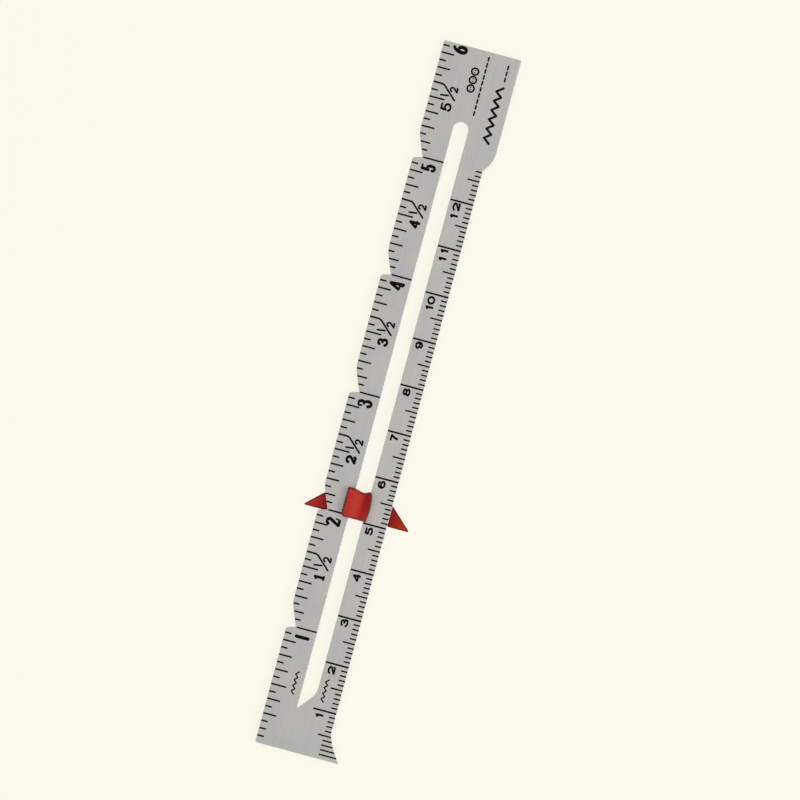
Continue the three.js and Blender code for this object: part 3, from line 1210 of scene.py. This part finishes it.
@dataclass
class InchScale:
    """The inches along the stepped edge: a line each sixteenth, and numerals each half inch."""

    blade: Blade
    edge_margin: float = 0.05
    line_pen: Pen = Pen(0.36, 0.36)
    marks_per_inch: int = 16
    sixteenth_length: float = 1.5
    eighth_length: float = 2.85
    half_inch_length: float = 3.35
    shortest_in_notch: float = 1.3
    # The line at the first eighth is as short as a sixteenth's.
    short_eighth: int = 2
    # In each inch after the first, the slash of the half inch's label takes the place of this line.
    slashed_mark: int = 10
    whole_pen: Pen = Pen(0.72, 0.46)
    whole_band: tuple[float, float] = (2.2, 5.35)
    half_pen: Pen = Pen(0.6, 0.45)
    half_band: tuple[float, float] = (2.85, 5.15)
    fraction_pen: Pen = Pen(0.4, 0.38)
    # The cells of the fraction's small one and two start this far past the half inch.
    small_one: Cell = Cell(top=2.1, foot=4.0, start=0.65, width=0.6)
    small_two: Cell = Cell(top=3.75, foot=5.65, start=1.9, width=1.22)
    # The slash's foot is this far across and this far past the half inch. The bend's three points are
    # this far across, and it starts this far before its line.
    slash_foot: tuple[float, float] = (5.3, 0.4)
    slash_bend: tuple[float, float, float] = (2.9, 2.45, 1.7)
    slash_bend_length: float = 0.55
    slash_bend_points: int = 8

    def lines(self) -> list[Stroke]:
        """Gives a line at each sixteenth of an inch, and a long one from each notch to the slot.

        Returns:
            One stroke for each line.
        """
        blade = self.blade
        half_width = self.line_pen.stem / 2
        last = blade.length - blade.corner_radius - self.line_pen.stem
        count = int(last * self.marks_per_inch / INCH)
        number = np.arange(1, count + 1)
        in_inch = number % self.marks_per_inch
        along = number * INCH / self.marks_per_inch
        edge = blade.edge_at(Edge.INCH_SIDE, along)
        length = np.full(count, self.eighth_length)
        length[(in_inch % 2 == 1) | (number == self.short_eighth)] = self.sixteenth_length
        length[in_inch == self.marks_per_inch // 2] = self.half_inch_length
        end = np.maximum(length, edge + self.shortest_in_notch)
        whole = in_inch == 0
        start = np.where(whole, blade.notch_depth + half_width, edge + self.edge_margin)
        end[whole] = blade.slot_from_inch_edge - self.edge_margin
        kept = (in_inch != self.slashed_mark) | (along < INCH)
        places = zip(start[kept], end[kept] - half_width, along[kept])
        ends = (End.SQUARE, End.ROUND)
        return [Stroke(((first, y), (last, y)), self.line_pen, ends) for first, last, y in places]

    def _fraction(self, half: float) -> list[Stroke]:
        """Draws a small one, a small two and the slash between them, just past a half inch.

        The slash is straight, and then bends into its line.

        Args:
            half: The half inch's place along the blade.

        Returns:
            The strokes.
        """
        line = half + (self.slashed_mark / self.marks_per_inch - 0.5) * INCH
        start, corner, end = self.slash_bend
        joined = bend(
            (start, line - self.slash_bend_length), (corner, line), (end, line), self.slash_bend_points
        )
        foot = (self.slash_foot[0], half + self.slash_foot[1])
        edge = float(self.blade.edge_at(Edge.INCH_SIDE, line)) + self.edge_margin
        slash = np.concatenate([[foot], joined, [(edge, line)]])
        return [
            *self.small_one.moved(half).strokes(Glyph.LEANING_BAR, self.fraction_pen),
            *self.small_two.moved(half).strokes(Glyph.TWO, self.fraction_pen),
            Stroke(slash, self.fraction_pen, (End.ROUND, End.SQUARE)),
        ]

    def numerals(self) -> list[Stroke]:
        """Gives the numerals of the whole inches and the labels of the half inches.

        Returns:
            Their strokes.
        """
        strokes = []
        for number, numeral in enumerate(WHOLE_NUMERALS, start=1):
            strokes += label(numeral, number * INCH, self.whole_pen, self.whole_band)
        for number, numeral in enumerate(HALF_NUMERALS, start=1):
            half = (number + 0.5) * INCH
            strokes += label(numeral, half, self.half_pen, self.half_band)
            strokes += self._fraction(half)
        return strokes


@dataclass
class MetricScale:
    """The millimetres along the waisted edge: a line each up to the head, and numerals each tenth."""

    blade: Blade
    edge_margin: float = 0.05
    millimetre_pen: Pen = Pen(0.33, 0.33)
    centimetre_pen: Pen = Pen(0.38, 0.38)
    millimetre_length: float = 1.45
    five_millimetre_length: float = 2.7
    digit_pen: Pen = Pen(0.48, 0.4)
    digit_band: tuple[float, float] = (10.7, 12.35)

    def lines(self) -> list[Stroke]:
        """Gives a line at each millimetre, longer at each fifth and each tenth.

        Returns:
            One stroke for each line.
        """
        blade = self.blade
        count = int(blade.length - blade.head_length - self.millimetre_pen.stem / 2)
        along = np.arange(1, count + 1)
        pens = [self.millimetre_pen if place % 10 else self.centimetre_pen for place in along]
        start = np.full(count, blade.waist_width - self.millimetre_length)
        start[along % 5 == 0] = blade.waist_width - self.five_millimetre_length
        start[along % 10 == 0] = blade.slot_far_side + self.edge_margin
        end = blade.edge_at(Edge.METRIC_SIDE, along) - self.edge_margin
        places = zip(start + np.array([pen.stem for pen in pens]) / 2, end, along, pens)
        ends = (End.ROUND, End.SQUARE)
        return [Stroke(((first, y), (last, y)), pen, ends) for first, last, y, pen in places]

    def numerals(self) -> list[Stroke]:
        """Gives the numerals of the centimetres, each just before its line.

        Returns:
            Their strokes.
        """
        strokes = []
        for centimetre, digits in enumerate(METRIC_NUMERALS, start=1):
            for digit in digits:
                strokes += label(digit, centimetre * 10, self.digit_pen, self.digit_band)
        return strokes


@dataclass(frozen=True)
class Zigzag:
    """A row of zigzag stitch: its two sides across, its first turn along, its step, turns and pen."""

    inner: float
    outer: float
    start: float
    step: float
    turns: int
    pen: Pen


@dataclass(frozen=True)
class RunningStitch:
    """A row of running stitch: its place across, its first stitch along and its number of stitches."""

    across: float
    start: float
    stitches: int


@dataclass
class StitchMarks:
    """Plain sewing marks on the bare parts of the blade: buttons, running stitch and zigzag stitch.

    A place along the blade that is below nought is counted back from the head's end.
    """

    blade: Blade
    zigzags: tuple[Zigzag, ...] = (
        Zigzag(4.5, 5.1, 11.7, 0.6, 9, Pen(0.3, 0.3)),
        Zigzag(10.95, 11.55, 11.7, 0.6, 9, Pen(0.3, 0.3)),
        Zigzag(13.3, 14.6, -18.6, 1.0, 13, Pen(0.5, 0.5)),
    )
    running: tuple[RunningStitch, ...] = (RunningStitch(10.0, -13.6, 10), RunningStitch(14.4, -5.2, 3))
    stitch_length: float = 0.72
    stitch_pitch: float = 1.3
    first_button: tuple[float, float] = (7.95, -8.4)
    button_radius: float = 0.72
    button_pitch: float = 1.82
    buttons: int = 3
    hole_offset: float = 0.25
    hole_reach: float = 0.01
    thread_pen: Pen = Pen(0.38, 0.38)
    hole_pen: Pen = Pen(0.3, 0.3)

    def _from_zero(self, place: float) -> float:
        """Gives a place along the blade, counted from the zero end."""
        return place if place >= 0 else self.blade.length + place

    def _zigzag(self, row: Zigzag) -> list[Stroke]:
        """Draws a row of zigzag stitch.

        Args:
            row: The row.

        Returns:
            A stroke from each turn to the next.
        """
        number = np.arange(row.turns)
        across = np.where(number % 2 == 0, row.outer, row.inner)
        places = np.stack([across, self._from_zero(row.start) + row.step * number], -1)
        return [Stroke(pair, row.pen) for pair in zip(places[:-1], places[1:])]

    def _dashes(self, row: RunningStitch) -> list[Stroke]:
        """Draws a row of running stitch.

        Args:
            row: The row.

        Returns:
            A stroke for each stitch.
        """
        places = self._from_zero(row.start) + self.stitch_pitch * np.arange(row.stitches)
        pairs = [((row.across, place), (row.across, place + self.stitch_length)) for place in places]
        return [Stroke(pair, self.thread_pen) for pair in pairs]

    def _button(self, across: float, along: float) -> list[Stroke]:
        """Draws a button: a ring with two holes.

        Args:
            across: The middle's place across the blade.
            along: Its place along the blade.

        Returns:
            The strokes.
        """
        radii = (self.button_radius, self.button_radius)
        ring = Arc((across, along), radii, (0, 360)).points()
        holes = [along - self.hole_offset, along + self.hole_offset]
        dots = [((across, hole - self.hole_reach), (across, hole + self.hole_reach)) for hole in holes]
        return [Stroke(ring, self.thread_pen), *(Stroke(dot, self.hole_pen) for dot in dots)]

    def strokes(self) -> list[Stroke]:
        """Draws all the marks.

        Returns:
            The strokes.
        """
        across, along = self.first_button
        rows = [self._zigzag(row) for row in self.zigzags]
        rows += [self._dashes(row) for row in self.running]
        for number in range(self.buttons):
            rows.append(self._button(across, self._from_zero(along) + number * self.button_pitch))
        return [stroke for row in rows for stroke in row]


@dataclass
class Markings:
    """What is enamelled on the blade's front: both scales and the stitch marks, as one thin film."""

    blade: Blade
    proud: float = 0.012
    depth: float = 0.03
    # Each stroke lies this much above the one before, so that no two share a plane.
    lift: float = 0.0004
    lifts: int = 5

    def _skin(self, strokes: Sequence[Stroke]) -> Skin:
        """Puts strokes into the film, in the row frame.

        Args:
            strokes: The strokes, in the order in which each lies above the one before.

        Returns:
            One skin that holds them all.
        """
        skins = []
        for number, stroke in enumerate(strokes):
            face = self.blade.front + self.lift * (number % self.lifts)
            skins.append(stroke.skin(face + self.proud, face - self.depth))
        return self.blade.on_blade(join_skins(skins))

    def build(self, finish: BakedEnamel) -> list[bpy.types.Object]:
        """Builds and dresses both scales and the stitch marks.

        Args:
            finish: The enamel.

        Returns:
            The pieces of enamel.
        """
        inches, metric, marks = InchScale(self.blade), MetricScale(self.blade), StitchMarks(self.blade)
        material = finish.material()
        drawings = {
            "inch_lines": inches.lines(),
            "inch_numerals": inches.numerals(),
            "metric_lines": metric.lines(),
            "metric_numerals": metric.numerals(),
            "stitch_marks": marks.strokes(),
        }
        return [
            make_piece(name, self._skin(strokes), material, Body.RULE, smooth=False)
            for name, strokes in drawings.items()
        ]


# The marker


@dataclass
class PointerPlate:
    """The back half of the marker: an arrow plate, the neck in the slot and the tenon on it."""

    span: float = 22.5
    height: float = 4.9
    slope: float = math.radians(43)
    thickness: float = 1.0
    tip_bend: float = 0.69
    top_bend: float = 0.2
    edge_round: float = 0.12
    round_steps: int = 5
    # The painted shade on the edge thins out over the rim of the face.
    rim_width: float = 0.3
    core_reach: float = 0.35
    point_spacing: float = 0.5
    neck_width: float = 2.9
    neck_setback: float = 0.6
    neck_top: float = 2.0
    neck_round: float = 0.05
    neck_round_steps: int = 3
    neck_arc_points: int = 17
    tenon_step: float = 0.65
    tenon_height: float = 1.0
    edge_painted_shade: float = 0.8
    painted_shade_attribute: str = "painted_shade_edge"

    def _post(self, offset: float, top: float) -> Skin:
        """Makes an upright post of the neck's section.

        Args:
            offset: How much larger the post is all round.
            top: Height of its top. Its foot is inside the plate.

        Returns:
            The closed skin.
        """
        radius = self.neck_width / 2 + offset
        reach = self.height / 2 - self.neck_setback - self.neck_width / 2
        angle = np.linspace(0, math.pi, self.neck_arc_points)
        arc = on_circle(angle) * radius
        outline = np.concatenate([arc + (0, reach), -arc - (0, reach)]) + (0, self.height / 2)
        rounds = (self.neck_round, self.neck_round)
        profile = edge_profile(self.thickness / 2, top, *rounds, self.neck_round_steps)
        return plate_skin(outline, inward_steps(outline), profile)

    def _skin(self) -> tuple[Skin, Array]:
        """Makes the plate with its neck and tenon, from its reading edge at nought along.

        Two sides at an angle a, bent over a length r, would meet r cos a / (1 + cos a) beyond the tip.

        Returns:
            The skin, and for each point how much painted shade it has.
        """
        beyond = self.tip_bend * math.cos(self.slope) / (1 + math.cos(self.slope))
        half = self.span / 2 + beyond
        top_half = half - self.height / math.tan(self.slope)
        corners = [
            Corner(-half, 0, self.tip_bend, self.tip_bend),
            Corner(half, 0, self.tip_bend, self.tip_bend),
            Corner(top_half, self.height, self.top_bend, self.top_bend),
            Corner(-top_half, self.height, self.top_bend, self.top_bend),
        ]
        outline = bent_outline(corners, self.point_spacing)
        places = np.array([(corner.across, corner.along) for corner in corners])
        steps = steps_to_core(outline, places, self.core_reach)
        profile = np.concatenate([
            [[self.rim_width, 0]],
            edge_profile(0, self.thickness, self.edge_round, self.edge_round, self.round_steps),
            [[self.rim_width, self.thickness]],
        ])
        skin = join_skins([
            plate_skin(outline, steps, profile),
            self._post(0, self.neck_top),
            self._post(-self.tenon_step, self.neck_top + self.tenon_height),
        ])
        # Painted shade on the plate's rounded edge, fading to none across the rim.
        on_edge = np.full(len(profile), self.edge_painted_shade)
        on_edge[[0, -1]] = 0.0
        painted_shade = np.zeros(len(skin.points))
        painted_shade[:len(outline) * len(profile)] = np.tile(on_edge, len(outline))
        return skin, painted_shade

    def build(self, finish: MouldedPolystyrene) -> bpy.types.Object:
        """Builds and dresses the pointer plate.

        Args:
            finish: The plate's finish.

        Returns:
            The piece.
        """
        low, _ = node_box("pointer_plate")
        skin, painted_shade = self._skin()
        skin.points = skin.points + (0, low[1], low[2])
        material = finish.material(self.painted_shade_attribute)
        piece = make_piece("pointers", skin, material, Body.MARKER, smooth=True)
        set_point_values(piece, self.painted_shade_attribute, painted_shade)
        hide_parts("pointer_plate")
        return piece


@dataclass
class ThumbBlock:
    """The front half of the marker: a block with rounded shoulders and a dished top."""

    inch_side: float = -3.25
    metric_side: float = 2.34
    zero_end: float = -0.2
    head_end: float = 6.08
    height: float = 2.4
    bulge: float = 0.2
    # The zero end's inch corner is a chamfer with soft ends. The head's metric corner leans in.
    corner: float = 0.45
    metric_corner: float = 0.225
    soft_corner: float = 0.1
    head_corner: float = 0.75
    head_corner_stretch: float = 1.6
    head_corner_lean: float = 0.125
    shoulder: float = 0.5
    shoulder_share: float = 0.6
    base_round: float = 0.06
    dish_depth: float = 0.55
    dish_wave: float = 0.42
    dish_across: float = 0.25
    dish_reach_inch_side: float = 2.4
    dish_reach_metric_side: float = 1.2
    point_spacing: float = 0.12
    chamfer_points: int = 4
    metric_corner_points: int = 6
    bulge_points: int = 36
    head_corner_points: int = 12
    inch_corner_points: int = 10
    base_steps: int = 3
    shoulder_steps: int = 12
    top_steps: int = 16
    # Painted shade is darkest on the walls of the sides, lighter at the ends, and fades over the
    # shoulder.
    end_painted_shade: float = 0.6
    painted_shade_fade: float = 0.7
    painted_shade_attribute: str = "painted_shade_wall"

    def _dish(self, across: Array) -> Array:
        """Gives the dish as a share of its depth: (1 + cos(pi times distance over reach)) / 2.

        Args:
            across: Places across the block.

        Returns:
            The share at each place.
        """
        away = across - self.dish_across
        reach = np.where(away < 0, self.dish_reach_inch_side, self.dish_reach_metric_side)
        return (1 + np.cos(math.pi * np.minimum(1, np.abs(away) / reach))) / 2

    def _outline(self) -> Array:
        """Draws the block's outline, whose head end dips with the dish.

        Returns:
            The outline's points, counter-clockwise.
        """
        low, high, left = self.zero_end, self.head_end, self.inch_side
        side, bulge = self.metric_side - self.bulge, self.metric_side + self.bulge
        corner, soft, spacing = self.corner, self.soft_corner, self.point_spacing
        wave_across = np.arange(side - self.head_corner, left + corner, -spacing)
        wave = np.stack([wave_across, high - self.dish_wave * self._dish(wave_across)], -1)
        chamfer = soft / math.sqrt(2)
        bottom_start = (left + corner + soft, low)
        bottom_end = (side - self.metric_corner, low)
        side_start = (side, low + self.metric_corner)
        side_end = (side, high - self.head_corner_stretch * self.head_corner)
        left_start, left_end = (left, high - corner), (left, low + corner + soft)
        chamfer_start = (left + chamfer, low + corner - chamfer)
        chamfer_end = (left + corner - chamfer, low + chamfer)
        head_lean = (side - self.head_corner_lean, high)
        return np.concatenate([
            straight(bottom_start, bottom_end, spacing),
            bend(bottom_end, (side, low), side_start, self.metric_corner_points),
            bend(side_start, (bulge, (low + high) / 2), side_end, self.bulge_points),
            bend(side_end, head_lean, wave[0], self.head_corner_points),
            wave,
            bend(wave[-1] + (-spacing / 2, 0), (left, high), left_start, self.inch_corner_points),
            straight(left_start, left_end, spacing),
            bend(left_end, (left, low + corner), chamfer_start, self.chamfer_points),
            straight(chamfer_start, chamfer_end, spacing),
            bend(chamfer_end, (left + corner, low), bottom_start, self.chamfer_points),
        ])

    def _rings(self) -> tuple[Array, Array, Array, Array]:
        """Gives the rings from the base up the wall, over the shoulder and in to the middle of the top.

        The shoulder is elliptic: its inset is s (1 - cos a), its height share 1 - k (1 - sin a).

        Returns:
            For each ring its inset, how far it shrinks to the middle, its share of the block's height
            and its share of the painted shade.
        """
        base = np.linspace(0, math.pi / 2, self.base_steps + 1)
        turn = np.linspace(0, math.pi / 2, self.shoulder_steps + 1)
        shrinking = np.arange(1, self.top_steps) / self.top_steps
        on_top = np.ones(len(shrinking))
        base_inset = self.base_round * (1 - np.sin(base))
        base_share = self.base_round * (1 - np.cos(base)) / self.height
        turn_inset = self.shoulder * (1 - np.cos(turn))
        turn_share = 1 - self.shoulder_share * (1 - np.sin(turn))
        thinning = np.append(np.cos(turn[:-1]) ** self.painted_shade_fade, 0.0)
        return (
            np.concatenate([base_inset, turn_inset, self.shoulder * on_top]),
            np.concatenate([0 * base, 0 * turn, shrinking]),
            np.concatenate([base_share, turn_share, on_top]),
            np.concatenate([np.ones(len(base)), thinning, 0 * on_top]),
        )

    def _skin(self) -> tuple[Skin, Array]:
        """Makes the block, with its base at nought and its places along counted from the reading edge.

        A point's height is its ring's share of the block's height less the dish's depth there.

        Returns:
            The skin, and for each point how much painted shade it has.
        """
        outline = self._outline()
        middle = np.array([self.inch_side + self.metric_side, self.zero_end + self.head_end]) / 2
        inset, shrink, share, ring_painted_shade = self._rings()
        away = outline - middle
        distance = np.linalg.norm(away, axis=1)[:, None]
        kept = (1 - inset / distance) * (1 - shrink)
        flat = middle + away[:, None] * kept[..., None]
        heights = (self.height - self.dish_depth * self._dish(flat[..., 0])) * share
        top = self.height - self.dish_depth * float(self._dish(middle[:1])[0])
        grid = np.concatenate([flat, heights[..., None]], -1)
        # Painted shade: darkest low on the walls, more on the long sides than at the ends.
        inward = inward_steps(outline)
        sideways = np.abs(inward[:, 0]) / np.linalg.norm(inward, axis=1)
        on_wall = self.end_painted_shade + (1 - self.end_painted_shade) * sideways
        pole_painted_shade = (1.0, 0.0)
        painted_shade = np.append(np.outer(on_wall, ring_painted_shade), pole_painted_shade)
        return domed_skin(grid, (*middle, 0.0), (*middle, top)), painted_shade

    def build(self, finish: MouldedPolystyrene) -> bpy.types.Object:
        """Builds and dresses the thumb block.

        Args:
            finish: The block's finish.

        Returns:
            The piece.
        """
        low, _ = node_box("slider_grip")
        skin, painted_shade = self._skin()
        skin.points = skin.points + (0, low[1] - self.zero_end, low[2])
        material = finish.material(self.painted_shade_attribute)
        piece = make_piece("thumb_block", skin, material, Body.MARKER, smooth=True)
        set_point_values(piece, self.painted_shade_attribute, painted_shade)
        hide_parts("slider_grip")
        return piece


# The studio


@dataclass
class Studio:
    """A pale floor, a soft even sky, a key lamp from the lower right and the photograph's camera."""

    backdrop: str = "#fdf9ed"
    floor_size: float = 4000.0
    floor_drop: float = 0.05
    # The share of the floor that shows the plain backdrop. The rest keeps the shadow.
    floor_glow: float = 0.88
    floor_roughness: float = 0.9
    # The sky's light is soft and comes mostly from above.
    zenith_strength: float = 1.1
    horizon_strength: float = 0.15
    key_watts: float = 2.6
    key_size: float = 500.0
    key_distance: float = 900.0
    key_direction: tuple[float, float, float] = (0.64, 0.0, 0.77)
    lens: float = 120.0
    sensor: float = 36.0
    # The photograph is 166.98 mm wide at the blade's face, and looks straight down on this point.
    view_width: float = 166.98
    view_centre: tuple[float, float, float] = (2.43, 0.89, 1.9)
    view_turn: float = math.radians(15.08)
    # The camera sees from its distance divided by this to its distance times this.
    clip_reach: float = 100.0

    def _seen(self, tree: bpy.types.NodeTree) -> bpy.types.Node:
        """Adds a node that is one for what the camera sees, straight on, in gloss or through glass.

        Args:
            tree: The node tree that gets it.

        Returns:
            The node.
        """
        path = add_node(tree, "LightPath")
        seen = add_node(
            tree, "Math",
            {0: path.outputs["Is Camera Ray"], 1: path.outputs["Is Glossy Ray"]}, operation="MAXIMUM",
        )
        return add_node(
            tree, "Math",
            {0: seen.outputs[0], 1: path.outputs["Is Transmission Ray"]}, operation="MAXIMUM",
        )

    def _floor(self) -> None:
        """Lays the floor: a matt pale sheet, a hair below the marker."""
        half = self.floor_size / 2
        points = np.array([(-half, -half), (half, -half), (half, half), (-half, half)])
        points = np.column_stack([points, np.full(4, -self.floor_drop)]) * MM
        mesh = bpy.data.meshes.new("floor")
        mesh.from_pydata(points.tolist(), [], [(0, 1, 2, 3)])
        material, tree = empty_material("matt_paper")
        paper = add_node(
            tree, "BsdfPrincipled",
            {
                "Base Color": linear(self.backdrop),
                "Roughness": self.floor_roughness,
                "Specular IOR Level": 0.0,
            },
        )
        glow = add_node(tree, "Emission", {"Color": linear(self.backdrop), "Strength": 1.0})
        share = add_node(
            tree, "Math", {0: self._seen(tree).outputs[0], 1: self.floor_glow}, operation="MULTIPLY"
        )
        surface = add_node(
            tree, "MixShader", {0: share.outputs[0], 1: paper.outputs[0], 2: glow.outputs[0]}
        )
        add_node(tree, "OutputMaterial", {"Surface": surface.outputs[0]})
        mesh.materials.append(material)
        floor = bpy.data.objects.new("floor", mesh)
        bpy.context.scene.collection.objects.link(floor)

    def _sky(self) -> None:
        """Lights the scene softly, mostly from above, and shows the backdrop behind it."""
        world = bpy.data.worlds.new("soft_sky")
        world.use_nodes = True
        tree = world.node_tree
        tree.nodes.clear()
        shown = self._seen(tree)
        direction = add_node(tree, "TexCoord").outputs["Generated"]
        height = add_node(tree, "SeparateXYZ", {"Vector": direction})
        strength = add_node(
            tree, "MapRange",
            {
                "Value": height.outputs["Z"],
                "To Min": self.horizon_strength,
                "To Max": self.zenith_strength,
            },
        )
        light = add_node(
            tree, "Background", {"Color": linear("#ffffff"), "Strength": strength.outputs[0]}
        )
        backdrop = add_node(tree, "Background", {"Color": linear(self.backdrop), "Strength": 1.0})
        mixed = add_node(
            tree, "MixShader", {0: shown.outputs[0], 1: light.outputs[0], 2: backdrop.outputs[0]}
        )
        add_node(tree, "OutputWorld", {"Surface": mixed.outputs[0]})
        bpy.context.scene.world = world

    def _key(self) -> None:
        """Hangs the key lamp, aimed at the middle of the gauge."""
        lamp = bpy.data.lights.new("key", "AREA")
        lamp.shape = "DISK"
        lamp.size = self.key_size * MM
        lamp.energy = self.key_watts
        key = bpy.data.objects.new("key", lamp)
        direction = Vector(self.key_direction).normalized()
        key.location = direction * self.key_distance * MM
        key.rotation_euler = direction.to_track_quat("Z", "Y").to_euler()
        bpy.context.scene.collection.objects.link(key)

    def _camera(self) -> None:
        """Sets the camera square above the gauge, turned as the photograph is."""
        data = bpy.data.cameras.new("camera")
        data.lens = self.lens
        data.sensor_width = self.sensor
        camera = bpy.data.objects.new("camera", data)
        distance = self.view_width * self.lens / self.sensor
        x, y, z = self.view_centre
        camera.location = Vector((x, y, z + distance)) * MM
        camera.rotation_euler = (0.0, 0.0, self.view_turn)
        data.clip_start = distance * MM / self.clip_reach
        data.clip_end = distance * MM * self.clip_reach
        bpy.context.scene.collection.objects.link(camera)
        bpy.context.scene.camera = camera

    def build(self) -> None:
        """Builds the whole studio."""
        bpy.context.scene.view_settings.view_transform = "Standard"
        self._floor()
        self._sky()
        self._key()
        self._camera()


def main() -> None:
    """Builds the rule, its scales, the marker and the studio."""
    logging.basicConfig(level=logging.INFO, format="%(message)s")
    blade = Blade()
    blade.build(SatinAluminium())
    Markings(blade).build(BakedEnamel())
    # The pointers' colour ramp is painted shade: darker where they pass under the blade's edges.
    PointerPlate().build(MouldedPolystyrene(
        name="moulded_pointer_red",
        painted_shade="#3a0304",
        gloss=0.08,
        shade_ramp=(
            Stop(-10.3, "#a72c24"),
            Stop(-7.6, "#931d1e"),
            Stop(7.0, "#881a09"),
            Stop(10.3, "#a53014"),
        ),
    ))
    # The grip's colour ramp is painted shade: darker towards its metric side, fading in along the grip.
    ThumbBlock().build(MouldedPolystyrene(
        name="moulded_grip_red",
        painted_shade="#380203",
        gloss=0.12,
        shade_ramp=(Stop(-0.2, "#af2a1e"), Stop(1.9, "#84020a")),
        growth=(-25.4, -21.5),
        least_shade_ramp=0.4,
    ))
    Studio().build()


if __name__ == "__main__":
    main()
